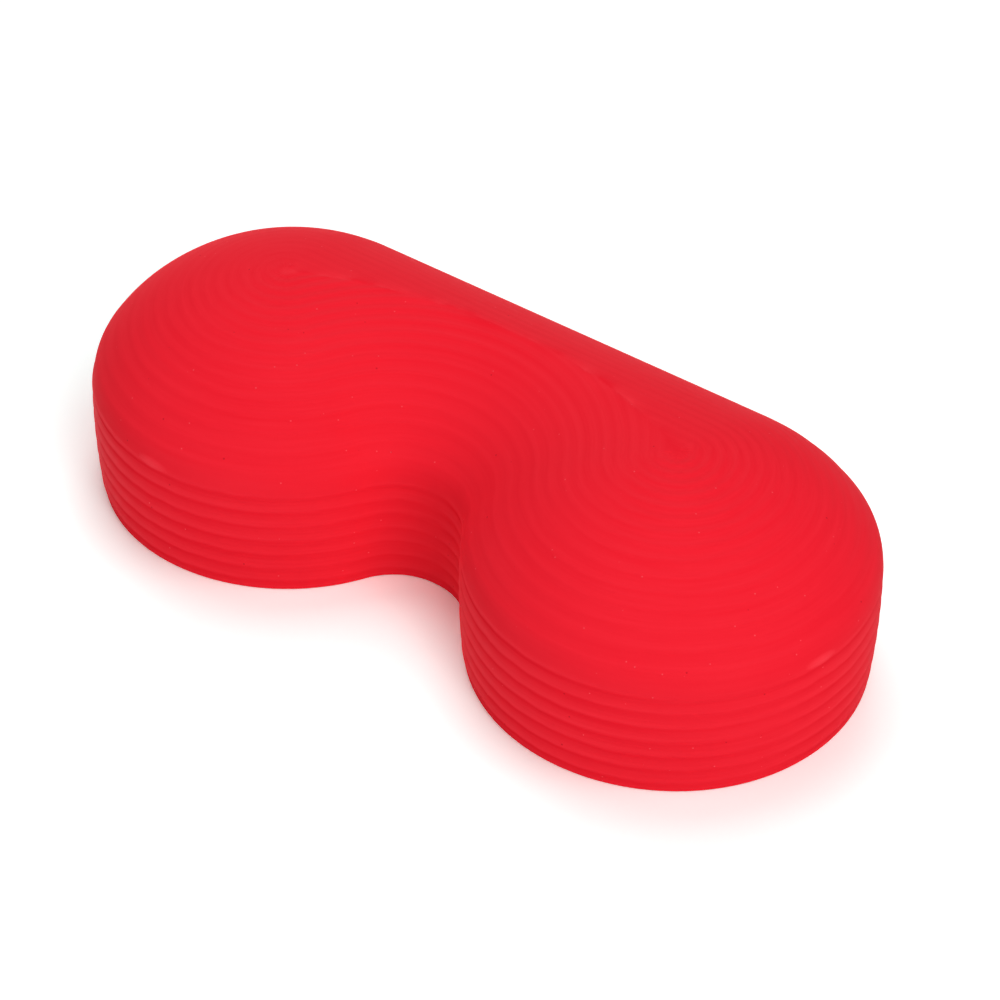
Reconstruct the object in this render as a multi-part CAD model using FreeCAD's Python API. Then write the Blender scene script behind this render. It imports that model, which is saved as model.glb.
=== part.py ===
"""Two-lobed palm and finger exerciser in soft silicone rubber.

The object rests flat on the XY plane. The two round lobes lie along X, the straight back is
towards +Y and the hollow of the waist opens towards -Y. The origin is at the centre of the
underside. All sizes are in millimetres.

Bench teardown, from the bottom up:
  lower_skin   side wall and floor in one moulding, with one round pocket in each lobe
  rim_seam     thin flat bond layer, whose edge shows as the line below the domes
  upper_skin   double dome moulding that closes both pockets
  left_core    springy domed pad that fills the left pocket
  right_core   the same pad in the right pocket
"""
import FreeCAD, Part
import math
import os

os.makedirs("parts", exist_ok=True)

Vector = FreeCAD.Vector
UP = Vector(0, 0, 1)

# --- plan outline -------------------------------------------------------------------------
lobe_radius = 22.4          # each round end, seen from above
lobe_gap = 7.0              # clear distance between the two lobe circles
waist_depth = 15.0          # how far the front hollow cuts in behind the lobes' front

# --- side and dome profile ----------------------------------------------------------------
shoulder_height = 14.9      # where the dome's sphere would meet the side wall
dome_rise = 12.4            # from there to the top of each dome
shoulder_radius = 5.2       # blend between side wall and dome
widest_height = 8.5         # the side wall bows out to its widest here
base_tuck = 0.38            # the side wall is this much further in at the floor

# --- construction -------------------------------------------------------------------------
seam_drop = 2.0             # underside of the bond layer, below the shoulder height
seam_thickness = 0.3
side_wall = 2.4             # skin around a pocket, at its thinnest
floor_thickness = 2.0
dome_skin = 2.2             # skin over a pocket
core_clearance = 0.1        # between a core and its pocket, all round and above
core_edge_radius = 2.5      # rounding of a core's upper edge

# --- worked out ---------------------------------------------------------------------------
lobe_offset = lobe_radius + lobe_gap / 2
overall_height = shoulder_height + dome_rise
crown_radius = (lobe_radius ** 2 + dome_rise ** 2) / (2 * dome_rise)
crown_centre_z = overall_height - crown_radius
bow_radius = (widest_height ** 2 + base_tuck ** 2) / (2 * base_tuck)
front_reach = lobe_radius - waist_depth
waist_radius = (lobe_offset ** 2 + front_reach ** 2 - lobe_radius ** 2) / (2 * waist_depth)
waist_centre_y = -(front_reach + waist_radius)
waist_angle = math.degrees(math.atan2(-waist_centre_y, lobe_offset))
seam_bottom = shoulder_height - seam_drop
seam_top = seam_bottom + seam_thickness


def shoulder_centre():
    """Centre of the blend arc, as (distance from the lobe axis, height)."""
    bow = (lobe_radius - bow_radius, widest_height)
    crown = (0.0, crown_centre_z)
    to_bow = bow_radius - shoulder_radius
    to_crown = crown_radius - shoulder_radius
    apart = math.dist(bow, crown)
    along = (to_bow ** 2 - to_crown ** 2 + apart ** 2) / (2 * apart)
    across = math.sqrt(to_bow ** 2 - along ** 2)
    unit = ((crown[0] - bow[0]) / apart, (crown[1] - bow[1]) / apart)
    return bow[0] + along * unit[0] - across * unit[1], bow[1] + along * unit[1] + across * unit[0]


def arc_points(centre, radius, start, end):
    """First, middle and last point of an arc in the profile plane, angles in radians."""
    angles = (start, (start + end) / 2, end)
    return [(centre[0] + radius * math.cos(a), centre[1] + radius * math.sin(a)) for a in angles]


def profile_arcs():
    """Side bow, shoulder and crown arcs from the floor to the top of a dome.

    Points are (distance from the lobe axis, height)."""
    bow = (lobe_radius - bow_radius, widest_height)
    crown = (0.0, crown_centre_z)
    blend = shoulder_centre()
    floor_angle = math.asin(-widest_height / bow_radius)
    bow_end = math.atan2(blend[1] - bow[1], blend[0] - bow[0])
    crown_start = math.atan2(blend[1] - crown[1], blend[0] - crown[0])
    return [
        arc_points(bow, bow_radius, floor_angle, bow_end),
        arc_points(blend, shoulder_radius, bow_end, crown_start),
        arc_points(crown, crown_radius, crown_start, math.pi / 2),
    ]


def profile_face(place, reach):
    """Upright section of the body, from the outer wall inwards.

    place turns (inset from the outline, height) into a point. Past a dome's top the section
    goes on at full height until its inset is reach."""
    edges = []
    for points in profile_arcs():
        placed = [place(lobe_radius - distance, height) for distance, height in points]
        edges.append(Part.Arc(*placed).toShape())
    corners = [place(lobe_radius, overall_height)]
    if reach > lobe_radius:
        corners.append(place(reach, overall_height))
    corners += [place(reach, 0), place(base_tuck, 0)]
    for start, end in zip(corners, corners[1:]):
        edges.append(Part.makeLine(start, end))
    return Part.Face(Part.Wire(edges))


def lobe_sector(side):
    """The round end at +X (side 1) or -X (side -1), up to where the middle part takes over."""
    centre = Vector(side * lobe_offset, 0, 0)

    def place(inset, height):
        return centre + Vector(0, lobe_radius - inset, height)

    return profile_face(place, lobe_radius).revolve(centre, UP * -side, 270 - waist_angle)


def middle_part():
    """Between the lobes: as high as both the straight back and the waist's hollow allow."""
    far_corner = math.hypot(lobe_offset, lobe_radius - waist_centre_y)
    back = profile_face(
        lambda inset, height: Vector(-lobe_offset, lobe_radius - inset, height),
        2 * lobe_radius,
    ).extrude(Vector(2 * lobe_offset, 0, 0))
    centre = Vector(0, waist_centre_y, 0)
    start = math.radians(waist_angle)
    outward = Vector(math.cos(start), math.sin(start), 0)
    front = profile_face(
        lambda inset, height: centre + outward * (waist_radius + inset) + UP * height,
        far_corner,
    ).revolve(centre, UP, 180 - 2 * waist_angle)
    return back.common(front)


def slab(bottom, top):
    """A block wider than the object, between two heights."""
    length = 4 * lobe_offset
    width = 4 * lobe_radius
    return Part.makeBox(length, width, top - bottom, Vector(-length / 2, -width / 2, bottom))


def pad_solid(side, clearance):
    """Domed pad of one lobe, smaller than its pocket by the clearance."""
    radius = lobe_radius - side_wall - clearance
    top_radius = crown_radius - dome_skin - clearance
    rim_angle = math.acos(radius / top_radius)
    top_arc = arc_points((0, crown_centre_z), top_radius, rim_angle, math.pi / 2)
    centre = Vector(side * lobe_offset, 0, 0)
    rim, crown_middle, apex = [centre + Vector(distance, 0, height) for distance, height in top_arc]
    middle_of_floor = centre + Vector(0, 0, floor_thickness)
    foot = middle_of_floor + Vector(radius, 0, 0)
    section = Part.Face(Part.Wire([
        Part.makeLine(middle_of_floor, foot),
        Part.makeLine(foot, rim),
        Part.Arc(rim, crown_middle, apex).toShape(),
        Part.makeLine(apex, middle_of_floor),
    ]))
    pad = section.revolve(centre, UP, 360)
    upper_edge = [
        edge for edge in pad.Edges
        if edge.Length > radius and abs(edge.BoundBox.Center.z - rim.z) < 0.01
    ]
    return pad.makeFillet(core_edge_radius + core_clearance - clearance, upper_edge)


def build():
    """All pieces by node name."""
    body = lobe_sector(1).fuse([middle_part(), lobe_sector(-1)]).removeSplitter()
    pockets = [pad_solid(side, 0) for side in (-1, 1)]
    return {
        "lower_skin": body.common(slab(-1, seam_bottom)).cut(pockets),
        "rim_seam": body.common(slab(seam_bottom, seam_top)).cut(pockets),
        "upper_skin": body.common(slab(seam_top, overall_height + 1)).cut(pockets),
        "left_core": pad_solid(-1, core_clearance),
        "right_core": pad_solid(1, core_clearance),
    }


for node, shape in build().items():
    shape.exportStep("parts/" + node + ".step")
    print(node, "solids:", len(shape.Solids), "valid:", shape.isValid(), "volume:", round(shape.Volume))
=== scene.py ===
"""Two-lobed palm and finger exerciser in soft red silicone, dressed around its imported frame.

The file is laid out as an add-on. Every piece has its own operator, its sizes and colours are
properties, and the panel in the sidebar lists them. All lengths are in metres. The object rests
on the XY plane with its lobes along X and its straight back towards +Y.
"""
import math
from typing import NamedTuple

import bmesh
import bpy
from bpy.props import FloatProperty, FloatVectorProperty, IntProperty, PointerProperty
from mathutils import Matrix, Vector


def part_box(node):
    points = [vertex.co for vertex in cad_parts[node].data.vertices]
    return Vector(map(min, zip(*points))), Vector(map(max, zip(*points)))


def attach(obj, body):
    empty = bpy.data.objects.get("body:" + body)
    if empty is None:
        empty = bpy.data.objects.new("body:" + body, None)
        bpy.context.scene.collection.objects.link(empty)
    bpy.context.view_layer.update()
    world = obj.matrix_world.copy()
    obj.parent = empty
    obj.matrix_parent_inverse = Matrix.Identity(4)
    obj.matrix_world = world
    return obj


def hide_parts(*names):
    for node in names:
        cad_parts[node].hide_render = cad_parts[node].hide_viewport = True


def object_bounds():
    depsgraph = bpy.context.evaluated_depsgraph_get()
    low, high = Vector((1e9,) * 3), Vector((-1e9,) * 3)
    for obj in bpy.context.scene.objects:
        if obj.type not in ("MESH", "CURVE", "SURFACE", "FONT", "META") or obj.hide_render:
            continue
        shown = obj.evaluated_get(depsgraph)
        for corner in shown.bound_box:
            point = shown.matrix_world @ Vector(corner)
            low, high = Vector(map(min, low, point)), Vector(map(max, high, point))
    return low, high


bl_info = {
    "name": "Silicone hand exerciser",
    "version": (1, 0, 0),
    "blender": (4, 5, 0),
    "location": "View3D > Sidebar > Exerciser",
    "description": "Two-lobed silicone exerciser with milled contour lines, and its studio stage",
    "category": "Add Mesh",
}

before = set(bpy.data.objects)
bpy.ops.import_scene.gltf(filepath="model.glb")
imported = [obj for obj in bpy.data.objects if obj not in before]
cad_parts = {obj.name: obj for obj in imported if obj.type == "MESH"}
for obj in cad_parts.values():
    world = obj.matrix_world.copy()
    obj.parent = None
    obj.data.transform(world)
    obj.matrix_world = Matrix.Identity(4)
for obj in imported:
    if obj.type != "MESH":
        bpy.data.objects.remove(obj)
cad_low, cad_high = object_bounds()
seam_low, seam_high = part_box("rim_seam")
core_low, core_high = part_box("right_core")

MM = 0.001
UP = Vector((0, 0, 1))

# What the section tree does with a point of the skin net.
LEFT_AS_BUILT, SIDE_WALL, DOME = 0.0, 1.0, 2.0

# Rows of points in one step of the lines, and how near to the crest or the apex they come.
WALL_ROWS, DOME_ROWS = 12, 8
SOLE_GAP, DOME_GAP, APEX_GAP = 1.0 * MM, 0.12 * MM, 0.9 * MM

# Rows elsewhere: insets on the sole, then angles round the foot, the blend and a pad.
SOLE_INSETS = [2 * MM, 5 * MM, 10 * MM, 16 * MM]
FOOT_START, FOOT_STEP, BLEND_STEP, PAD_EDGE_STEP, PAD_CROWN_STEP = [
    math.radians(degrees) for degrees in (60, 20, 1.8, 6, 3)
]

# Points round a pocket and round a pad, digits to which the height of a flat land is told,
# and the least angle between two faces that shows as a sharp edge.
POCKET_TURNS, PAD_TURNS = 144, 96
LAND_DIGITS = 6
SHARP_ANGLE = math.radians(38)

# Just short of half a step, so that the last flute ends in its middle.
HALF_STEP = 0.4999

# Added to the seed, so that the waver and the nicks are drawn apart from the depths.
WAVER_SEED, NICK_SEED = 5.0, 9.0

# The colour inputs of a Mix node, whose names other inputs have as well.
FIRST_COLOUR, SECOND_COLOUR = 6, 7

SILICONE_IOR = 1.41
SENSOR_WIDTH = 36.0

# Azimuth and elevation of each lamp.
LOW_LAMP, HIGH_LAMP = math.radians(12), math.radians(60)
LAMPS = {
    "front_key": (math.radians(52), LOW_LAMP),
    "left_fill": (math.radians(-45), LOW_LAMP),
    "right_top": (math.radians(90), HIGH_LAMP),
    "back_top": (math.radians(225), HIGH_LAMP),
    "back_rim": (math.radians(225), LOW_LAMP),
}


# --- sizes and colours ---
def length(name, description, default, **limits):
    """A length property in metres."""
    return FloatProperty(
        name=name, description=description, default=default, unit="LENGTH",
        precision=6, **limits,
    )


def plain(name, description, default, **limits):
    """A bare number property, from 0 up unless its limits say otherwise."""
    limits = {"min": 0.0, **limits}
    return FloatProperty(name=name, description=description, default=default, **limits)


def fraction(name, description, default):
    """A number property from 0 to 1."""
    return plain(name, description, default, max=1.0)


def angle(name, description, default):
    """An angle property, given in degrees."""
    return FloatProperty(
        name=name, description=description, default=math.radians(default), subtype="ANGLE",
    )


def tint(name, description, default):
    """A colour property, linear values."""
    return FloatVectorProperty(
        name=name, description=description, default=default, subtype="COLOR", size=3,
        min=0.0, max=1.0,
    )


class ExerciserSizes(bpy.types.PropertyGroup):
    """Driving sizes of the outline, the section and the inside."""

    lobe_radius: length(
        "Lobe radius", "Radius of each round end, seen from above",
        (cad_high.y - cad_low.y) / 2,
    )
    lobe_offset: length(
        "Lobe offset", "From the middle of the object to the middle of a lobe",
        (cad_high.x - cad_low.x - cad_high.y + cad_low.y) / 2,
    )
    waist_depth: length(
        "Waist depth", "How far the front hollow cuts in behind the lobes' front", 15.0 * MM,
    )
    overall_height: length("Overall height", "Top of each dome", cad_high.z)
    shoulder_height: length(
        "Shoulder height", "Where the dome's sphere would meet the side wall", 14.9 * MM,
    )
    shoulder_radius: length("Shoulder radius", "Blend between side wall and dome", 5.2 * MM)
    widest_height: length("Widest height", "Height at which the side bows out most", 8.5 * MM)
    base_tuck: length("Base tuck", "How much further in the side is at the floor", 0.38 * MM)
    crest_width: length(
        "Crest width", "Softening of the ridge between the back slope and the waist", 0.35 * MM,
    )
    foot_radius: length("Foot radius", "Rounding of the bottom edge", 0.12 * MM)
    seam_bottom: length("Seam bottom", "Underside of the bond layer", seam_low.z)
    seam_top: length("Seam top", "Upper side of the bond layer", seam_high.z)
    core_radius: length("Core radius", "Springy pad in each lobe", (core_high.x - core_low.x) / 2)
    core_floor: length("Core floor", "Underside of the springy pads", core_low.z)
    core_top: length("Core top", "Top of the springy pads", core_high.z)
    core_clearance: length("Core clearance", "Between a pad and its pocket", 0.1 * MM)
    core_edge: length("Core edge radius", "Rounding of a pad's upper edge", 2.5 * MM)
    outline_steps: IntProperty(
        name="Outline steps", description="Sections along each lobe's round end",
        default=188, min=24,
    )
    neck_steps: IntProperty(
        name="Neck steps", description="Sections between the lobes", default=90, min=12,
    )


class ExerciserLines(bpy.types.PropertyGroup):
    """Cutter path left on the skin: soft ridges with shallow flutes between them."""

    wall_step: length("Wall step", "Height from one side ridge to the next", 2.0 * MM)
    wall_first: length("Wall first ridge", "Height of the lowest side ridge", 1.35 * MM)
    wall_last: length("Wall last ridge", "Height of the highest side ridge", 13.35 * MM)
    wall_depth: length("Wall flute depth", "Depth of the flutes in the side", 0.12 * MM)
    wall_ridge: plain(
        "Wall ridge width", "Share of the step that the rounded ridge takes", 0.2,
        min=0.02, max=0.98,
    )
    dome_step: length("Dome step", "From one dome ridge to the next, seen from above", 1.4 * MM)
    dome_first: length("Dome first ridge", "Inset of the outermost dome ridge", 0.75 * MM)
    dome_depth: length("Dome flute depth", "Depth of the flutes in the domes", 0.042 * MM)
    dome_ridge: plain(
        "Dome ridge width", "Share of the step that the rounded ridge takes", 0.45,
        min=0.02, max=0.98,
    )
    # Painted shading of the dome lines' flanks, beside that of the side lines.
    dome_bloom: plain("Dome bloom", "Lightness of the dome lines beside that of the side lines", 0.11)
    lean: plain("Lean", "How much deeper the left sides are cut than the right ones", 1.1)
    least_cut: plain("Least cut", "Share of the depth that the lean leaves at the right", 0.3)
    deepest_cut: plain("Deepest cut", "Share of the depth at which the lean stops", 1.45)
    right_start: plain("Right start", "How far to the right the right end begins", 0.9)
    right_end: plain("Right end", "How much deeper the cut gets towards the right end", 4.8)
    wall_fade: plain("Wall fade", "Steps over which the last side flute runs out", 2.5, min=0.1)
    waist_ease: plain("Waist ease", "Share of the depth that is lost in the waist", 0.88)
    waist_reach: length("Waist reach", "How far from the middle that starts", 5.0 * MM)
    dome_lean: plain("Dome lean", "How much deeper the domes are cut in front", 0.45)
    dome_side: plain("Dome side", "How much deeper the domes are cut at the right", 1.0)
    nick_depth: length("Nick depth", "Depth of the nicks where the cuts meet", 0.25 * MM)
    nick_reach: length("Nick reach", "How far from the crest the nicks go", 0.7 * MM)
    # Painted highlights and shade along the crest nicks.
    nick_bloom: plain("Nick bloom", "How much the nicks vary the colour", 2.0)
    nick_scale: plain("Nick scale", "Nicks per metre", 380.0)
    wander: plain("Wander", "How much the flute depth varies along a line", 0.3)
    wander_scale: plain("Wander scale", "Variations per metre", 70.0)
    waver: plain("Waver", "How far a line strays from its place, in steps", 0.11)
    waver_scale: plain("Waver scale", "Bends per metre", 450.0)
    seed: plain("Seed", "Chooses the variation", 3.0)
    left_nib: angle("Left nib", "Where the trimmed mark is round the left lobe", 266.8)
    right_nib: angle("Right nib", "Where the trimmed mark is round the right lobe", 347.0)
    nib_place: length("Nib place", "Height of both marks", 13.9 * MM)
    nib_length: length("Nib length", "Along the rim", 4.4 * MM)
    nib_height: length("Nib height", "Up the skin", 1.4 * MM)
    nib_bloom: plain("Nib bloom", "How pale a mark is beside a line's flank", 2.2)


class ExerciserRim(bpy.types.PropertyGroup):
    """Bead where the two mouldings are bonded."""

    bead_reach: length("Bead reach", "How far the bead stands out of the side", 0.01 * MM)
    bead_height: length("Bead height", "Height of the bead on the side", 0.42 * MM)


class ExerciserFinish(bpy.types.PropertyGroup):
    """Colours and surface of the silicone and the gel."""

    # The darker reds are painted shade on the lower flank of each line, the lighter reds painted
    # light on its upper flank.
    skin_deep: tint("Skin, darker", "Red of the lines' lower flanks", (0.840, 0.0068, 0.0205))
    skin_pale: tint("Skin, lighter", "Red of their upper flanks", (0.890, 0.0170, 0.0335))
    bond_deep: tint("Bond, darker", "Bond line, lower flank", (0.830, 0.0073, 0.0210))
    bond_pale: tint("Bond, lighter", "Bond line, upper flank", (0.895, 0.0188, 0.0350))
    speck_colour: tint("Lint colour", "Dust that clings to the silicone", (0.92, 0.07, 0.09))
    gel_colour: tint("Gel colour", "Springy filling", (0.78, 0.74, 0.66))
    gel_dull: fraction("Gel dullness", "Brightness of the clouds in the gel", 0.9)
    gel_clouds: plain("Gel clouds", "Clouds per metre", 180.0)
    gel_roughness: fraction("Gel roughness", "Roughness of the clear gel", 0.25)
    gel_matte: plain("Gel matte", "How much the clouds vary the roughness", 0.2)
    gel_bump: fraction("Gel bump", "Strength of the fine relief", 0.4)
    gel_depth: fraction("Gel depth", "Share of the light that goes through", 0.3)
    gel_spread: length("Gel spread", "How far light spreads in the gel", 2.0 * MM)
    skin_roughness: fraction("Skin roughness", "Roughness of the silicone", 0.75)
    gloss: fraction("Skin gloss", "Strength of the soft reflection", 0.12)
    # How far the painted shading of the flanks reaches, from the darker red to the lighter one.
    flank_bloom: plain("Flank bloom", "How far a line's flanks go from darker to lighter", 1.25)
    grain_depth: length("Grain depth", "Fine roughness of the mould", 0.006 * MM)
    streak_depth: length("Streak depth", "Fine streaks along the lines", 0.022 * MM)
    streak_bloom: plain("Streak bloom", "How much the streaks vary the colour", 0.8)
    mottle_bloom: plain("Mottle bloom", "How much the mottle varies the colour", 0.6)
    mottle_matte: plain("Mottle matte", "How much the mottle varies the roughness", 0.12)
    flank_polish: plain("Flank polish", "How much smoother a lighter flank is", 0.2)
    bump: fraction("Bump strength", "Strength of the fine relief", 0.6)
    speck_share: fraction("Lint share", "Share of the places that hold lint", 0.8)
    speck_height: plain("Lint height", "How far lint stands out, in grain depths", 4.0)
    pit_share: fraction("Pit share", "Share of the places that hold a pit", 0.5)
    pit_scale: plain("Pit scale", "Places for a pit per metre", 470.0)
    pit_depth: plain("Pit depth", "How deep a pit is, in grain depths", 3.0)
    pit_strength: fraction("Pit strength", "How much of its colour shows", 0.6)
    pit_colour: tint("Pit colour", "Shaded inside of a pinhole", (0.45, 0.001, 0.008))


class ExerciserStage(bpy.types.PropertyGroup):
    """Camera, lamps and floor."""

    azimuth: angle("Camera azimuth", "Round the object from the front", 36.076)
    elevation: angle("Camera elevation", "Above the floor", 40.148)
    roll: angle("Camera roll", "Turn about the line of sight", 0.644)
    distance: length("Camera distance", "From the point it looks at", 359.1 * MM)
    target: FloatVectorProperty(
        name="Camera target", description="Point on the floor in the middle of the view",
        default=(-2.990 * MM, 8.895 * MM, 0.0), subtype="TRANSLATION", size=3, precision=6,
    )
    lens: plain("Focal length", "In millimetres, for a 36 mm wide sensor", 113.5)
    sky: plain("Sky strength", "Even light from all round", 0.15)
    front_key: plain("Front key", "Power of the low lamp at the front right, watts", 4.95)
    left_fill: plain("Left fill", "Power of the low lamp at the front left, watts", 2.05)
    right_top: plain("Right top", "Power of the high lamp at the right, watts", 2.7)
    back_top: plain("Back top", "Power of the high lamp at the back left, watts", 3.0)
    back_rim: plain("Back rim", "Power of the low lamp at the back left, watts", 1.0)
    lamp_distance: length("Lamp distance", "From the object's middle", 0.85)
    lamp_size: length("Lamp size", "Side of each square lamp", 0.6)
    floor_size: length("Floor size", "Side of the square floor", 8.0)
    floor_gap: length("Floor gap", "Between the floor and the object's underside", 0.02 * MM)
    floor_grey: plain("Floor reflectance", "Share of light that the floor sends back", 0.65)
    floor_lift: tint(
        "Floor lift", "Extra reflectance where the floor shows as background", (0.59, 0.74, 0.72),
    )


# --- plain helpers ---
def settings(name):
    """One of the property groups on the scene."""
    return getattr(bpy.context.scene, "exerciser_" + name)


def placed(name, data):
    """A new object in the scene."""
    item = bpy.data.objects.new(name, data)
    bpy.context.scene.collection.objects.link(item)
    return item


def section_sizes(sizes):
    """What follows from the driving sizes, under the names that the section tree uses."""
    radius = sizes.lobe_radius
    rise = sizes.overall_height - sizes.shoulder_height
    crown_radius = (radius ** 2 + rise ** 2) / (2 * rise)
    crown_height = sizes.overall_height - crown_radius
    bow_radius = (sizes.widest_height ** 2 + sizes.base_tuck ** 2) / (2 * sizes.base_tuck)
    bow = Vector((radius - bow_radius, sizes.widest_height))
    crown = Vector((0.0, crown_height))
    apart = (crown - bow).length
    to_bow = bow_radius - sizes.shoulder_radius
    to_crown = crown_radius - sizes.shoulder_radius
    along = (to_bow ** 2 - to_crown ** 2 + apart ** 2) / (2 * apart)
    across = math.sqrt(to_bow ** 2 - along ** 2)
    unit = (crown - bow) / apart
    blend = bow + along * unit + across * Vector((-unit.y, unit.x))
    return {
        "Lobe radius": radius,
        "Lobe offset": sizes.lobe_offset,
        "Widest height": sizes.widest_height,
        "Bow radius": bow_radius,
        "Blend radius": sizes.shoulder_radius,
        "Blend centre reach": blend.x,
        "Blend centre height": blend.y,
        "Crown radius": crown_radius,
        "Crown centre height": crown_height,
        "Crest width": sizes.crest_width,
    }


def side_inset(section, height):
    """How far the bowed side wall lies inside the outline at a height."""
    rise = height - section["Widest height"]
    return section["Bow radius"] - math.sqrt(section["Bow radius"] ** 2 - rise ** 2)


def bow_end(section):
    """Height at which the side wall turns into the blend."""
    lean = math.atan2(
        section["Blend centre height"] - section["Widest height"],
        section["Blend centre reach"] - section["Lobe radius"] + section["Bow radius"],
    )
    return section["Widest height"] + section["Bow radius"] * math.sin(lean), lean


def evenly(start, end, step):
    """Values from start to end, both included, about a step apart."""
    count = max(1, round(abs(end - start) / step))
    return [start + (end - start) * i / count for i in range(count + 1)]


# --- outline and skin net ---
class Column(NamedTuple):
    """One upright section of the skin.

    foot is its point on the outline, inward the way to the crest, ridge how far in the crest
    lies, and crest names the crest point, which it may share with other columns."""

    foot: Vector = Vector()
    inward: Vector = Vector()
    ridge: float = 0.0
    crest: int = 0

    def at(self, inset, height):
        """The point at an inset and a height."""
        return self.foot + self.inward * inset + UP * height


def heading(turn):
    """Level unit vector at an angle from +X."""
    return Vector((math.cos(turn), math.sin(turn), 0))


def lobe_columns(sizes, side, start, crest):
    """Columns round one end, clockwise from an angle, without the two that the neck holds."""
    radius = sizes.lobe_radius
    middle = Vector((side * sizes.lobe_offset, 0, 0))
    sweep = 1.5 * math.pi - neck_angle(sizes)
    last = sizes.outline_steps
    spokes = [heading(start - sweep * step / last) for step in range(1, last)]
    return [Column(middle + spoke * radius, -spoke, radius, crest) for spoke in spokes]


def waist_arc(sizes):
    """Centre and radius of the hollow arc at the front."""
    reach = sizes.lobe_radius - sizes.waist_depth
    radius = sizes.lobe_offset ** 2 + reach ** 2 - sizes.lobe_radius ** 2
    radius /= 2 * sizes.waist_depth
    return Vector((0, -(reach + radius), 0)), radius


def neck_angle(sizes):
    """Angle at which the hollow arc meets a lobe."""
    return math.atan2(-waist_arc(sizes)[0].y, sizes.lobe_offset)


def outline_columns(sizes):
    """All columns, clockwise from the left end of the straight back."""
    middle, hollow = waist_arc(sizes)
    span = sizes.lobe_radius - middle.y
    last = sizes.neck_steps
    back, waist = [], []
    for step in range(last + 1):
        x = sizes.lobe_offset * (2 * step / last - 1)
        ridge = (x ** 2 + span ** 2 - hollow ** 2) / (2 * (span + hollow))
        foot = Vector((x, sizes.lobe_radius, 0))
        back.append(Column(foot, Vector((0, -1, 0)), ridge, step))
        away = (foot - Vector((0, ridge, 0)) - middle).normalized()
        waist.append(Column(middle + away * hollow, away, ridge, step))
    right = lobe_columns(sizes, 1, math.pi / 2, last)
    left = lobe_columns(sizes, -1, -neck_angle(sizes), 0)
    return back + right + waist[::-1] + left


class SkinNet:
    """Points and faces of one moulding, with what the section tree reads at each point."""

    NOTES = ("foot", "inward", "level", "ridge", "extra", "zone")

    def __init__(self, columns):
        self.columns = columns
        self.points = []
        self.faces = []
        self.notes = {key: [] for key in self.NOTES}

    def point(self, place, column=Column(), level=0.0, zone=LEFT_AS_BUILT, extra=0.0):
        """Adds a point and gives its number."""
        self.points.append(place)
        values = (column.foot, column.inward, level, column.ridge, extra, zone)
        for key, value in zip(self.NOTES, values):
            self.notes[key].append(value)
        return len(self.points) - 1

    def side_row(self, section, height, extra=0.0):
        """A row round the side wall."""
        inset = side_inset(section, height) + extra
        return [
            self.point(c.at(inset, height), c, height, SIDE_WALL, extra) for c in self.columns
        ]

    def contour_rows(self, insets, zone, height, gap):
        """Rows at equal inset, which end at the crest where they come nearer than the gap."""
        crest = {}
        for c in self.columns:
            if c.crest not in crest:
                crest[c.crest] = self.point(c.at(c.ridge, height), c, c.ridge, zone)
        rows = [
            [
                crest[c.crest] if c.ridge - inset < gap
                else self.point(c.at(inset, height), c, inset, zone)
                for c in self.columns
            ]
            for inset in insets
        ]
        return rows + [[crest[c.crest] for c in self.columns]]

    def turned(self, middle, profile, steps=POCKET_TURNS):
        """Skins a profile of (radius, height) pairs turned about a lobe's axis."""
        spokes = [heading(2 * math.pi * step / steps) for step in range(steps)]
        rows = []
        for radius, height in profile:
            centre = middle + UP * height
            if radius > 0:
                rows.append([self.point(centre + spoke * radius) for spoke in spokes])
            else:
                rows.append([self.point(centre)] * steps)
        self.loft(rows)

    def loft(self, rows):
        """Faces between rows that follow each other, all the way round."""
        for lower, upper in zip(rows, rows[1:]):
            for a, b, c, d in zip(lower, lower[1:] + lower[:1], upper[1:] + upper[:1], upper):
                corners = list(dict.fromkeys((a, b, c, d)))
                if len(corners) > 2:
                    self.faces.append(corners)

    def object(self, name):
        """The finished piece: open flat lands closed, faces outwards."""
        mesh = bpy.data.meshes.new(name)
        mesh.from_pydata([tuple(p) for p in self.points], [], self.faces)
        for key, values in self.notes.items():
            vector = isinstance(values[0], Vector)
            kind = "FLOAT_VECTOR" if vector else "FLOAT"
            flat = [x for value in values for x in value] if vector else values
            field = "vector" if vector else "value"
            mesh.attributes.new(key, kind, "POINT").data.foreach_set(field, flat)
        form = bmesh.new()
        form.from_mesh(mesh)
        open_edges = {}
        for edge in form.edges:
            if edge.is_boundary:
                open_edges.setdefault(round(edge.verts[0].co.z, LAND_DIGITS), []).append(edge)
        for edges in open_edges.values():
            bmesh.ops.triangle_fill(form, use_beauty=True, edges=edges, normal=UP)
        bmesh.ops.recalc_face_normals(form, faces=form.faces)
        form.to_mesh(mesh)
        form.free()
        return placed(name, mesh)


def lobe_middles(sizes):
    """Middle of each lobe on the floor, left one first."""
    return [Vector((side * sizes.lobe_offset, 0, 0)) for side in (-1, 1)]


def pocket_radius(sizes):
    """Radius of the pocket in each lobe."""
    return sizes.core_radius + sizes.core_clearance


def pad_profile(sizes, section, clearance):
    """Upper half of a pad's or pocket's section: (radius, height) from its side to its top."""
    radius = pocket_radius(sizes) - clearance
    edge = sizes.core_edge + sizes.core_clearance - clearance
    top = sizes.core_top + sizes.core_clearance - clearance
    crown_height = section["Crown centre height"]
    crown_radius = top - crown_height
    middle = radius - edge
    rise = math.sqrt((crown_radius - edge) ** 2 - middle ** 2)
    turn = math.atan2(rise, middle)
    profile = [
        (middle + edge * math.cos(a), crown_height + rise + edge * math.sin(a))
        for a in evenly(0, turn, PAD_EDGE_STEP)
    ]
    profile += [
        (crown_radius * math.cos(a), crown_height + crown_radius * math.sin(a))
        for a in evenly(turn, math.pi / 2, PAD_CROWN_STEP)[1:-1]
    ]
    return profile + [(0, top)]


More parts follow.
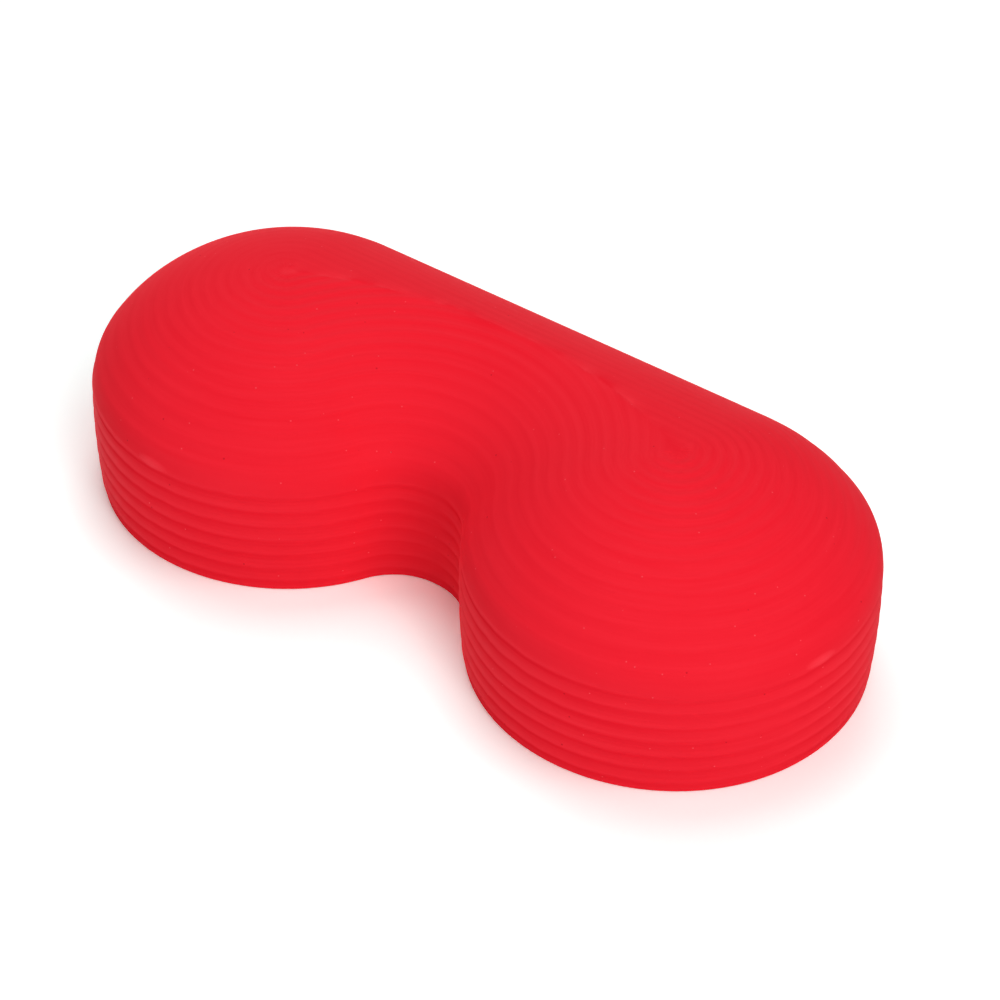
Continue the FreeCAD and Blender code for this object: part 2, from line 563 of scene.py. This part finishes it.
# --- node helpers ---
class Field:
    """A number or vector in a node tree, so that a rule reads like a formula."""

    def __init__(self, socket):
        self.socket = socket
        self.tree = socket.id_data

    def into(self, operation, *others):
        """The result of a Math node that starts from this number."""
        inputs = dict(enumerate((self, *others)))
        return out(add(self.tree, "ShaderNodeMath", inputs, operation=operation))

    def __add__(self, other):
        return self.into("ADD", other)

    def __sub__(self, other):
        return self.into("SUBTRACT", other)

    def __mul__(self, other):
        return self.into("MULTIPLY", other)

    def __truediv__(self, other):
        return self.into("DIVIDE", other)

    def flipped(self):
        """One minus this number."""
        return self.into("MULTIPLY_ADD", -1.0, 1.0)

    def clamped(self):
        """This number kept between 0 and 1."""
        return self.into("MINIMUM", 1.0).into("MAXIMUM", 0.0)

    def towards(self, other, share):
        """This number where share is 0, the other where it is 1."""
        return self + (other - self) * share

    def vector(self, operation, other):
        """The result of a Vector Math node that starts from this vector."""
        inputs = {0: self, 1: other}
        return out(add(self.tree, "ShaderNodeVectorMath", inputs, operation=operation))

    def raised(self, height):
        """This place moved up."""
        return self.vector("ADD", combined(self.tree, z=height))

    def plan(self):
        """X and Y of this vector."""
        parts = add(self.tree, "ShaderNodeSeparateXYZ", {"Vector": self})
        return out(parts, "X"), out(parts, "Y")


def plug(socket, value):
    """Links a field to a socket, or sets its value."""
    if isinstance(value, Field):
        socket.id_data.links.new(value.socket, socket)
    else:
        socket.default_value = value


def add(tree, kind, inputs=None, **options):
    """Adds a node, with its options and its inputs by name or number."""
    node = tree.nodes.new(kind)
    for key, value in options.items():
        setattr(node, key, value)
    for key, value in (inputs or {}).items():
        plug(node.inputs[key], value)
    return node


def out(node, name=None):
    """An output by name, or the first, skipping those that the node's type switches off."""
    return Field(next(s for s in node.outputs if s.enabled and name in (None, s.name)))


def combined(tree, x=0.0, y=0.0, z=0.0):
    """A vector from its parts."""
    return out(add(tree, "ShaderNodeCombineXYZ", {"X": x, "Y": y, "Z": z}))


def new_tree(name, kind, inputs, outputs):
    """An empty node tree, its end node, and its inputs by name.

    A socket is given by its type or, when it is a number, by its value."""
    tree = bpy.data.node_groups.new(name, kind)
    for in_out, sockets in (("INPUT", inputs), ("OUTPUT", outputs)):
        for label, value in sockets.items():
            typed = isinstance(value, str)
            socket = tree.interface.new_socket(
                label, in_out=in_out, socket_type="NodeSocket" + (value if typed else "Float"),
            )
            if not typed:
                socket.default_value = value
    start = tree.nodes.new("NodeGroupInput")
    return tree, tree.nodes.new("NodeGroupOutput"), {s.name: Field(s) for s in start.outputs}


def labelled(group):
    """A property group's values under their labels."""
    return {
        group.bl_rna.properties[key].name: getattr(group, key)
        for key in type(group).__annotations__
    }


def smoothed(mesh):
    """Drops what the skin net noted, and shades the mesh smooth but for its sharp edges."""
    for name in SkinNet.NOTES:
        if name in mesh.attributes:
            mesh.attributes.remove(mesh.attributes[name])
    mesh.shade_smooth()
    mesh.set_sharp_from_angle(angle=SHARP_ANGLE)


def grow(piece, tree, values):
    """Runs a geometry tree on a piece and keeps the result as its plain mesh."""
    modifier = piece.modifiers.new(tree.name, "NODES")
    modifier.node_group = tree
    for item in tree.interface.items_tree:
        if item.in_out == "INPUT" and item.name in values:
            modifier[item.identifier] = values[item.name]
    graph = bpy.context.evaluated_depsgraph_get()
    mesh = bpy.data.meshes.new_from_object(piece.evaluated_get(graph), depsgraph=graph)
    piece.modifiers.clear()
    mesh.name = piece.name
    piece.data = mesh
    smoothed(mesh)


# --- geometry trees ---
def note(tree, name, kind="FLOAT"):
    """Reads what the skin net noted at a point."""
    return out(add(tree, "GeometryNodeInputNamedAttribute", {"Name": name}, data_type=kind))


def flutes(phase, width):
    """Depth and slope of the flutes at a phase, which is whole on each ridge.

    Depth is 0 on a ridge and 1 in the middle of a flute. Slope is 1 where the surface falls
    away fastest behind a ridge, and -1 where it comes out again to the next. A flute is the
    round trace of the cutter, and a ridge the rounding between two of them."""
    near = phase.into("WRAP", 0.5, -0.5)
    away = near.into("ABSOLUTE")
    half = width * 0.5
    flute = (away - away * away - half + half * half) * 4.0 / width.flipped() + width
    depth = flute.towards(away * away * 2.0 / half, away.into("LESS_THAN", half))
    slope = (away / half).into("MINIMUM", (away * 2.0).flipped() / width.flipped())
    return depth, slope * near.into("SIGN")


def unevenness(place, seed, scale):
    """Smooth chance from about -1 to 1 at a place."""
    noise = add(
        place.tree, "ShaderNodeTexNoise",
        {"Vector": place, "W": seed, "Scale": scale, "Detail": 1.0}, noise_dimensions="4D",
    )
    return (out(noise, "Fac") - 0.5) * 2.0


def smooth_section(size, level, ridge, on_dome):
    """Inset and height of a point on the section without lines, and the way out and up there."""
    side_rise = level - size["Widest height"]
    bow = size["Bow radius"]
    side_run = (bow * bow - side_rise * side_rise).into("SQRT")

    fade = ((level - ridge) / size["Crest width"]).into("EXPONENT")
    reach = size["Lobe radius"] - level + size["Crest width"] * fade
    blend, crown = size["Blend radius"], size["Crown radius"]
    crown_start = size["Blend centre reach"] * crown / (crown - blend)
    on_crown = reach.into("LESS_THAN", crown_start)
    arc = blend.towards(crown, on_crown)
    run = reach - size["Blend centre reach"] * on_crown.flipped()
    rise = (arc * arc - run * run).into("MAXIMUM", 0.0).into("SQRT")
    arc_height = size["Blend centre height"].towards(size["Crown centre height"], on_crown)

    inset = (bow - side_run).towards(level, on_dome)
    height = level.towards(arc_height + rise, on_dome)
    outward = (side_run / bow).towards(run / arc * fade.flipped(), on_dome)
    upward = (side_rise / bow).towards(rise / arc, on_dome)
    return inset, height, outward, upward


def cut_shares(size, foot, inward):
    """Share of the full depth that the side lines and the dome lines have at a place."""
    side, front = inward.plan()
    wall = (side * size["Lean"] + 1.0).into("MAXIMUM", size["Least cut"])
    wall = wall.into("MINIMUM", size["Deepest cut"])
    at_right = (side * -1.0 - size["Right start"]).into("MAXIMUM", 0.0)
    wall = wall + at_right * size["Right end"]
    from_middle = foot.plan()[0].into("ABSOLUTE") / size["Waist reach"]
    in_waist = from_middle.into("MINIMUM", 1.0).flipped() * front.into("GREATER_THAN", 0.0)
    wall = wall * (in_waist * size["Waist ease"]).flipped()
    dome = front * size["Dome lean"] - side * size["Dome side"] + 1.0
    return wall, dome.into("MAXIMUM", 0.0)


def nib_shares(size, foot, height):
    """How far a place lies within each of the two trimmed marks: 1 in the middle, 0 outside."""
    for lobe, turn in ((-1.0, size["Left nib"]), (1.0, size["Right nib"])):
        spot = combined(
            foot.tree, turn.into("COSINE") * size["Lobe radius"] + size["Lobe offset"] * lobe,
            turn.into("SINE") * size["Lobe radius"],
        )
        along = foot.vector("DISTANCE", spot) / (size["Nib length"] * 0.5)
        up = (height - size["Nib place"]) / (size["Nib height"] * 0.5)
        yield (along * along + up * up).into("MINIMUM", 1.0).flipped()


def geometry_tree(name, values):
    """An empty geometry tree with named numbers, its end node, and its inputs by name."""
    ends = {"Geometry": "Geometry"}
    return new_tree(name, "GeometryNodeTree", {**ends, **values, "Material": "Material"}, ends)


def stored(tree, geometry, name, value, where=True, kind="FLOAT"):
    """Keeps a value at the points under a name, for the material."""
    return out(add(tree, "GeometryNodeStoreNamedAttribute", {
        "Geometry": geometry, "Selection": where, "Name": name, "Value": value,
    }, data_type=kind, domain="POINT"))


def finished(tree, end, geometry, material):
    """Closes a geometry tree: real geometry with its material."""
    real = add(tree, "GeometryNodeRealizeInstances", {"Geometry": geometry})
    last = add(tree, "GeometryNodeSetMaterial", {"Geometry": out(real), "Material": material})
    plug(end.inputs[0], out(last))
    return tree


def contour_tree(section, lines):
    """The rule of the whole skin.

    A wall point's level is its height, and a dome point's its inset from the outline. The rule
    turns either into the place on the section, then sinks the flutes below it. It also notes
    the flank, 1 on the upper side of a line and -1 on its lower side, and the trail, the place
    along and across the lines, for the material. Two small marks fill the topmost flute."""
    tree, end, size = geometry_tree("Contoured skin", {**section, **labelled(lines)})
    level, ridge, extra, zone = [note(tree, key) for key in ("level", "ridge", "extra", "zone")]
    foot, inward = [note(tree, key, "FLOAT_VECTOR") for key in ("foot", "inward")]
    on_skin = zone.into("GREATER_THAN", SIDE_WALL / 2)
    on_dome = zone.into("GREATER_THAN", (SIDE_WALL + DOME) / 2)

    inset, height, outward, upward = smooth_section(size, level, ridge, on_dome)

    place, seed = foot.raised(height), size["Seed"]
    swing = unevenness(place, seed, size["Wander scale"]) * size["Wander"] + 1.0
    stray = unevenness(place, seed + WAVER_SEED, size["Waver scale"]) * size["Waver"]
    wall_share, dome_share = cut_shares(size, foot, inward)
    past = (height - size["Wall last ridge"]) / size["Wall step"] + stray
    steps = (size["Wall last ridge"] - size["Wall first ridge"]) / size["Wall step"]
    phase = past.into("MINIMUM", HALF_STEP) + steps
    wall, wall_slope = flutes(phase, size["Wall ridge width"])
    phase = (inset - size["Dome first ridge"]) / size["Dome step"] + stray
    dome, dome_slope = flutes(phase, size["Dome ridge width"])
    above = inset.into("GREATER_THAN", size["Dome first ridge"])
    done = ((past - 0.5) / size["Wall fade"]).clamped()
    left = (done * done * (done * -2.0 + 3.0)).flipped()
    depth = size["Wall flute depth"] * wall_share * left * wall
    depth = (depth + size["Dome flute depth"] * dome_share * above * dome) * swing
    below = (past * 2.0).clamped().flipped()
    # The flank becomes painted shading in the material: lighter on the upper side of a line,
    # darker on its lower side.
    flank = wall_slope * below * wall_share + dome_slope * above * size["Dome bloom"]
    flank = flank * swing

    nick = unevenness(place, seed + NICK_SEED, size["Nick scale"])
    nick = nick * ((level - ridge) / size["Nick reach"]).into("EXPONENT") * on_dome
    depth = depth + nick.into("MAXIMUM", 0.0) * size["Nick depth"]
    # The nicks also paint highlights and shade along the crest, through the flank.
    flank = flank + nick * size["Nick bloom"]
    for nib in nib_shares(size, foot, height):
        depth = depth * nib.flipped()
        flank = flank + nib * size["Nib bloom"]

    inset = inset + extra + depth * outward
    height = height - depth * upward
    shift = add(tree, "ShaderNodeVectorMath", {0: inward, "Scale": inset}, operation="SCALE")
    place = foot.vector("ADD", out(shift)).raised(height)
    moved = add(tree, "GeometryNodeSetPosition", {
        "Geometry": size["Geometry"], "Selection": on_skin, "Position": place,
    })
    # Kept for the painted light and shade on the flanks.
    kept = stored(tree, out(moved), "flank", flank, on_skin)
    kept = stored(tree, kept, "trail", foot.raised(level), kind="FLOAT_VECTOR")
    return finished(tree, end, kept, size["Material"])


def rim_tree(rim):
    """Bead that follows the rim, added to the bond layer."""
    tree, end, size = geometry_tree("Rim bead", labelled(rim))
    on_rim = note(tree, "rim_line", "BOOLEAN")
    path = add(tree, "GeometryNodeMeshToCurve", {"Mesh": size["Geometry"], "Selection": on_rim})
    path = add(tree, "GeometryNodeSetCurveNormal", {"Curve": out(path)}, mode="Z_UP")
    ring = add(tree, "GeometryNodeCurvePrimitiveCircle", {"Resolution": 12, "Radius": 1.0})
    stretch = combined(tree, size["Bead reach"], size["Bead height"] * 0.5, 1.0)
    section = add(tree, "GeometryNodeTransform", {"Geometry": out(ring), "Scale": stretch})
    bead = add(
        tree, "GeometryNodeCurveToMesh", {"Curve": out(path), "Profile Curve": out(section)},
    )
    joined = add(tree, "GeometryNodeJoinGeometry")
    for part in (size["Geometry"], out(bead)):
        plug(joined.inputs[0], part)
    return finished(tree, end, out(joined), size["Material"])


# --- materials ---
def shared(tree, fill, inputs):
    """Adds the node of a shared group, which its function fills on first use."""
    name = fill.__name__.replace("_", " ").capitalize()
    group = bpy.data.node_groups.get(name) or fill(name)
    return add(tree, "ShaderNodeGroup", inputs, node_tree=group)


def moulded_grain(name):
    """Fine roughness that a mould leaves, and slow unevenness of the surface."""
    tree, end, size = new_tree(
        name, "ShaderNodeTree",
        {"Vector": "Vector", "Fine scale": 2600.0, "Slow scale": 55.0},
        {"Height": "Float", "Mottle": "Float"},
    )
    for label, scale, detail, roughness in (
        ("Height", "Fine scale", 3.0, 0.6), ("Mottle", "Slow scale", 4.0, 0.55),
    ):
        noise = add(tree, "ShaderNodeTexNoise", {
            "Vector": size["Vector"], "Scale": size[scale],
            "Detail": detail, "Roughness": roughness,
        })
        plug(end.inputs[label], out(noise, "Fac"))
    return tree


def clinging_lint(name):
    """Spots well under a millimetre, scattered thinly: specks of dust, or pits for painted shade.
    """
    sizes = {"Spots per metre": 600.0, "Speck size": 0.06, "Edge": 2.5, "Share": 0.5}
    tree, end, size = new_tree(
        name, "ShaderNodeTree", {"Vector": "Vector", **sizes}, {"Specks": "Float"},
    )
    cells = add(tree, "ShaderNodeTexVoronoi", {
        "Vector": size["Vector"], "Scale": size["Spots per metre"], "Randomness": 1.0,
    })
    pick = out(add(tree, "ShaderNodeSeparateColor", {"Color": out(cells, "Color")}))
    near = (out(cells, "Distance") / size["Speck size"]).into("MINIMUM", 1.0)
    speck = (near.flipped() * size["Edge"]).into("MINIMUM", 1.0)
    plug(end.inputs["Specks"], speck * pick.into("LESS_THAN", size["Share"]))
    return tree


def cutter_streaks(name):
    """Fine streaks along the cutter's path, copied into the silicone by the mould."""
    tree, end, size = new_tree(
        name, "ShaderNodeTree", {"Trail": "Vector", "Along": 80.0, "Across": 3200.0},
        {"Streak": "Float"},
    )
    stretch = combined(tree, size["Along"], size["Along"], size["Across"])
    noise = add(tree, "ShaderNodeTexNoise", {
        "Vector": size["Trail"].vector("MULTIPLY", stretch),
        "Scale": 1.0, "Detail": 2.0, "Roughness": 0.6,
    })
    plug(end.inputs["Streak"], out(noise, "Fac") - 0.5)
    return tree


def new_material(name, colour):
    """A material, coloured for the solid view, and its empty tree."""
    material = bpy.data.materials.new(name)
    material.use_nodes = True
    material.diffuse_color = (*colour, 1)
    material.node_tree.nodes.clear()
    return material, material.node_tree


def mixed(share, first, second, clamp=True):
    """A colour between two, each a field or three values."""
    first, second = [c if isinstance(c, Field) else (*c, 1) for c in (first, second)]
    return out(add(
        share.tree, "ShaderNodeMix",
        {"Factor": share, FIRST_COLOUR: first, SECOND_COLOUR: second},
        data_type="RGBA", clamp_factor=clamp,
    ))


def surfaced(tree, height, depth, strength, values):
    """Closes a material tree: fine relief on a Principled surface."""
    relief = {"Height": height, "Distance": depth, "Strength": strength}
    values["Normal"] = out(add(tree, "ShaderNodeBump", relief))
    shader = add(tree, "ShaderNodeBsdfPrincipled", {"IOR": SILICONE_IOR, **values})
    add(tree, "ShaderNodeOutputMaterial", {"Surface": out(shader)})


def silicone(name, deep, pale, finish, lint=True):
    """Matte silicone: grain, mottle, streaks, painted light and shade on line flanks, some lint.
    """
    material, tree = new_material(name, pale)
    place = out(add(tree, "ShaderNodeTexCoord"), "Object")
    grain = shared(tree, moulded_grain, {"Vector": place})
    mottle = out(grain, "Mottle") - 0.5
    flank = out(add(tree, "ShaderNodeAttribute", attribute_name="flank"), "Fac")
    trail = out(add(tree, "ShaderNodeAttribute", attribute_name="trail"), "Vector")
    streak = out(shared(tree, cutter_streaks, {"Trail": trail}))
    # Painted shading: the flank lightens the upper side of each line and darkens its lower side,
    # as light from above would; the mottle adds random tone.
    lightness = flank * (finish.flank_bloom * 0.5) + mottle * finish.mottle_bloom + 0.5
    surface = mixed(lightness + streak * finish.streak_bloom, deep, pale, clamp=False)
    height = out(grain, "Height") + streak * (finish.streak_depth / finish.grain_depth)
    if lint:
        speck = out(shared(tree, clinging_lint, {"Vector": place, "Share": finish.speck_share}))
        pit = out(shared(tree, clinging_lint, {
            "Vector": place, "Share": finish.pit_share, "Spots per metre": finish.pit_scale,
        }))
        surface = mixed(speck, surface, finish.speck_colour)
        # Painted shade inside the pinholes.
        surface = mixed(pit * finish.pit_strength, surface, finish.pit_colour)
        height = height + speck * finish.speck_height - pit * finish.pit_depth
    polish = flank.into("MINIMUM", 1.0) * -finish.flank_polish
    surfaced(tree, height, finish.grain_depth, finish.bump, {
        "Base Color": surface,
        "Roughness": polish + mottle * finish.mottle_matte + finish.skin_roughness,
        "Specular IOR Level": finish.gloss,
    })
    return material


def gel(finish):
    """Pale springy gel, slightly cloudy."""
    material, tree = new_material("springy_gel", finish.gel_colour)
    place = out(add(tree, "ShaderNodeTexCoord"), "Object")
    grain = shared(tree, moulded_grain, {"Vector": place, "Slow scale": finish.gel_clouds})
    mottle = out(grain, "Mottle")
    dull = [c * finish.gel_dull for c in finish.gel_colour]
    surfaced(tree, out(grain, "Height"), finish.grain_depth, finish.gel_bump, {
        "Base Color": mixed(mottle, dull, finish.gel_colour),
        "Roughness": mottle * finish.gel_matte + finish.gel_roughness,
        "Subsurface Weight": finish.gel_depth,
        "Subsurface Scale": finish.gel_spread,
    })
    return material


def floor_material(stage):
    """Floor that keeps the shadow and shows white where it is open."""
    grey = [stage.floor_grey] * 3
    material, tree = new_material("studio_floor", grey)
    matte = add(tree, "ShaderNodeBsdfDiffuse", {"Color": (*grey, 1)})
    lift = mixed(seen_rays(tree), (0, 0, 0), stage.floor_lift)
    lifted = add(tree, "ShaderNodeBsdfDiffuse", {"Color": lift})
    both = add(tree, "ShaderNodeAddShader", {0: out(matte), 1: out(lifted)})
    add(tree, "ShaderNodeOutputMaterial", {"Surface": out(both)})
    return material


def seen_rays(tree):
    """1 for what the camera sees directly, in a reflection or through glass."""
    rays = add(tree, "ShaderNodeLightPath")
    seen = out(rays, "Is Camera Ray")
    for name in ("Is Glossy Ray", "Is Transmission Ray"):
        seen = seen.into("MAXIMUM", out(rays, name))
    return seen


# --- operators ---
def direction(azimuth, elevation):
    """Unit vector from the object; azimuth 0 is the front, a quarter turn is +X."""
    level = math.cos(elevation)
    return Vector((math.sin(azimuth) * level, -math.cos(azimuth) * level, math.sin(elevation)))


def hand_over(piece, node):
    """Declares a finished piece to the frame."""
    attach(piece, "root")
    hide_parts(node)


def skin_material(name="red_silicone"):
    """The red silicone that both mouldings share."""
    made, finish = bpy.data.materials.get(name), settings("finish")
    # Its darker and lighter reds are painted shade and painted light on the lines' flanks.
    return made or silicone(name, finish.skin_deep, finish.skin_pale, finish)


def contoured(name, net, rows, pocket):
    """Lofts the rows of a net, skins its pockets, raises it and cuts its lines."""
    net.loft(rows)
    for middle in lobe_middles(settings("sizes")):
        net.turned(middle, pocket)
    piece = net.object(name)
    section = section_sizes(settings("sizes"))
    lines = settings("lines")
    tree = bpy.data.node_groups.get("Contoured skin") or contour_tree(section, lines)
    grow(piece, tree, {**section, **labelled(lines), "Material": skin_material()})
    return piece


class EXERCISER_OT_lower_moulding(bpy.types.Operator):
    """Side wall, floor and neck web in one moulding, with a round pocket in each lobe"""

    bl_idname = "exerciser.lower_moulding"
    bl_label = "Lower moulding"

    def execute(self, context):
        sizes, lines = settings("sizes"), settings("lines")
        section = section_sizes(sizes)
        net = SkinNet(outline_columns(sizes))
        foot = sizes.foot_radius
        sole = [side_inset(section, 0) + foot, *SOLE_INSETS]
        rows = net.contour_rows(sole, LEFT_AS_BUILT, 0.0, SOLE_GAP)[::-1]
        for turn in evenly(FOOT_START, 0, FOOT_STEP):
            height = foot * (1 - math.sin(turn))
            rows.append(net.side_row(section, height, foot * (1 - math.cos(turn))))
        for height in evenly(foot, sizes.seam_bottom, lines.wall_step / WALL_ROWS)[1:]:
            rows.append(net.side_row(section, height))
        radius, floor = pocket_radius(sizes), sizes.core_floor
        pocket = [(radius, sizes.seam_bottom), (radius, floor), (0, floor)]
        piece = contoured("lower_moulding", net, rows, pocket)
        hand_over(piece, "lower_skin")
        return {"FINISHED"}


class EXERCISER_OT_upper_moulding(bpy.types.Operator):
    """Double dome that closes both pockets"""

    bl_idname = "exerciser.upper_moulding"
    bl_label = "Upper moulding"

    def execute(self, context):
        sizes, lines = settings("sizes"), settings("lines")
        section = section_sizes(sizes)
        radius = sizes.lobe_radius
        net = SkinNet(outline_columns(sizes))
        top, lean = bow_end(section)
        rows = [
            net.side_row(section, height)
            for height in evenly(sizes.seam_top, top, lines.wall_step / WALL_ROWS)[:-1]
        ]
        rise = section["Blend centre height"] - section["Crown centre height"]
        turn_end = math.atan2(rise, section["Blend centre reach"])
        insets = [
            radius - section["Blend centre reach"] - sizes.shoulder_radius * math.cos(turn)
            for turn in evenly(lean, turn_end, BLEND_STEP)
        ]
        insets += evenly(insets[-1], radius - APEX_GAP, lines.dome_step / DOME_ROWS)[1:]
        rows += net.contour_rows(insets, DOME, 0.0, DOME_GAP)
        pocket = [(pocket_radius(sizes), sizes.seam_top), *pad_profile(sizes, section, 0.0)]
        piece = contoured("upper_moulding", net, rows, pocket)
        hand_over(piece, "upper_skin")
        return {"FINISHED"}


class EXERCISER_OT_rim_bond(bpy.types.Operator):
    """Thin bond layer whose bead shows as the line below the domes"""

    bl_idname = "exerciser.rim_bond"
    bl_label = "Rim bond"

    def execute(self, context):
        sizes, rim, finish = settings("sizes"), settings("rim"), settings("finish")
        section = section_sizes(sizes)
        net = SkinNet(outline_columns(sizes))
        bottom, top = sizes.seam_bottom, sizes.seam_top
        rows = [net.side_row(section, height) for height in (bottom, (bottom + top) / 2, top)]
        pocket = [(pocket_radius(sizes), height) for height in (bottom, top)]
        piece = contoured("rim_bond", net, rows, pocket)
        mesh = piece.data
        on_line = set(rows[1])
        flags = [on_line.issuperset(edge.vertices) for edge in mesh.edges]
        mesh.attributes.new("rim_line", "BOOLEAN", "EDGE").data.foreach_set("value", flags)
        # The bond line gets the same painted shade and painted light on its flanks.
        reds = (finish.bond_deep, finish.bond_pale)
        bond = silicone("bond_line_silicone", *reds, finish, lint=False)
        grow(piece, rim_tree(rim), {**labelled(rim), "Material": bond})
        hand_over(piece, "rim_seam")
        return {"FINISHED"}


class EXERCISER_OT_gel_cores(bpy.types.Operator):
    """Springy domed pad in each pocket"""

    bl_idname = "exerciser.gel_cores"
    bl_label = "Gel cores"

    def execute(self, context):
        sizes = settings("sizes")
        section = section_sizes(sizes)
        material = gel(settings("finish"))
        for middle, side in zip(lobe_middles(sizes), ("left", "right")):
            net = SkinNet([])
            foot = [(0, sizes.core_floor), (sizes.core_radius, sizes.core_floor)]
            net.turned(middle, foot + pad_profile(sizes, section, sizes.core_clearance), PAD_TURNS)
            piece = net.object(side + "_gel_core")
            piece.data.materials.append(material)
            smoothed(piece.data)
            hand_over(piece, side + "_core")
        return {"FINISHED"}


class EXERCISER_OT_stage(bpy.types.Operator):
    """Camera, white floor, even sky and five large soft lamps"""

    bl_idname = "exerciser.stage"
    bl_label = "Stage"

    def execute(self, context):
        stage = settings("stage")
        context.scene.view_settings.view_transform = "Standard"
        self.add_camera(context.scene, stage)
        self.add_floor(stage)
        self.add_sky(context.scene, stage)
        for name, (azimuth, elevation) in LAMPS.items():
            self.add_lamp(stage, name, direction(azimuth, elevation))
        return {"FINISHED"}

    def add_camera(self, scene, stage):
        """Camera on a sphere round its target, rolled about the line of sight."""
        back = direction(stage.azimuth, stage.elevation)
        right = Vector((math.cos(stage.azimuth), math.sin(stage.azimuth), 0))
        upward = back.cross(right)
        turn_cos, turn_sin = math.cos(stage.roll), math.sin(stage.roll)
        axes = (right * turn_cos + upward * turn_sin, upward * turn_cos - right * turn_sin, back)
        data = bpy.data.cameras.new("studio_camera")
        data.lens = stage.lens
        data.sensor_width = SENSOR_WIDTH
        data.clip_start, data.clip_end = 0.01, 50.0
        camera = placed("studio_camera", data)
        camera.rotation_mode = "QUATERNION"
        camera.rotation_quaternion = Matrix(axes).transposed().to_quaternion()
        camera.location = Vector(stage.target) + back * stage.distance
        scene.camera = camera

    def add_floor(self, stage):
        """Large flat floor, slightly below the object's underside to keep the faces apart."""
        half = stage.floor_size / 2
        mesh = bpy.data.meshes.new("studio_floor")
        corners = [(-half, -half), (half, -half), (half, half), (-half, half)]
        mesh.from_pydata([(x, y, -stage.floor_gap) for x, y in corners], [], [(0, 1, 2, 3)])
        mesh.materials.append(floor_material(stage))
        floor = placed("studio_floor", mesh)

    def add_sky(self, scene, stage):
        """Even light, seen as plain white by the camera and in reflections."""
        world = bpy.data.worlds.new("studio_sky")
        world.use_nodes = True
        scene.world = world
        tree = world.node_tree
        tree.nodes.clear()
        strength = seen_rays(tree) * (1.0 - stage.sky) + stage.sky
        light = add(tree, "ShaderNodeBackground", {"Strength": strength})
        add(tree, "ShaderNodeOutputWorld", {"Surface": out(light)})

    def add_lamp(self, stage, name, towards):
        """Square soft lamp that looks at the object's middle."""
        data = bpy.data.lights.new(name, "AREA")
        data.shape = "SQUARE"
        data.size = stage.lamp_size
        data.energy = getattr(stage, name)
        lamp = placed(name, data)
        lamp.rotation_mode = "QUATERNION"
        lamp.rotation_quaternion = towards.to_track_quat("Z", "Y")
        lamp.location = towards * stage.lamp_distance + (cad_low + cad_high) / 2


class EXERCISER_PT_panel(bpy.types.Panel):
    """Lists the pieces and their sizes"""

    bl_idname = "EXERCISER_PT_panel"
    bl_label = "Hand exerciser"
    bl_space_type = "VIEW_3D"
    bl_region_type = "UI"
    bl_category = "Exerciser"

    def draw(self, context):
        for operator in OPERATORS:
            self.layout.operator(operator.bl_idname)
        for name, group in GROUPS.items():
            box = self.layout.box()
            box.label(text=name.capitalize())
            for key in group.__annotations__:
                box.prop(settings(name), key)


OPERATORS = (
    EXERCISER_OT_stage,
    EXERCISER_OT_lower_moulding,
    EXERCISER_OT_rim_bond,
    EXERCISER_OT_upper_moulding,
    EXERCISER_OT_gel_cores,
)
GROUPS = {
    "sizes": ExerciserSizes,
    "lines": ExerciserLines,
    "rim": ExerciserRim,
    "finish": ExerciserFinish,
    "stage": ExerciserStage,
}


def register():
    """Makes the property groups, operators and panel known."""
    for name, group in GROUPS.items():
        bpy.utils.register_class(group)
        setattr(bpy.types.Scene, "exerciser_" + name, PointerProperty(type=group))
    for item in (*OPERATORS, EXERCISER_PT_panel):
        bpy.utils.register_class(item)


def unregister():
    """Takes everything back out."""
    for item in (EXERCISER_PT_panel, *reversed(OPERATORS)):
        bpy.utils.unregister_class(item)
    for name, group in reversed(GROUPS.items()):
        delattr(bpy.types.Scene, "exerciser_" + name)
        bpy.utils.unregister_class(group)


def main():
    """Builds the stage and every piece."""
    register()
    bpy.ops.exerciser.stage()
    bpy.ops.exerciser.lower_moulding()
    bpy.ops.exerciser.rim_bond()
    bpy.ops.exerciser.upper_moulding()
    bpy.ops.exerciser.gel_cores()


if __name__ == "__main__":
    main()
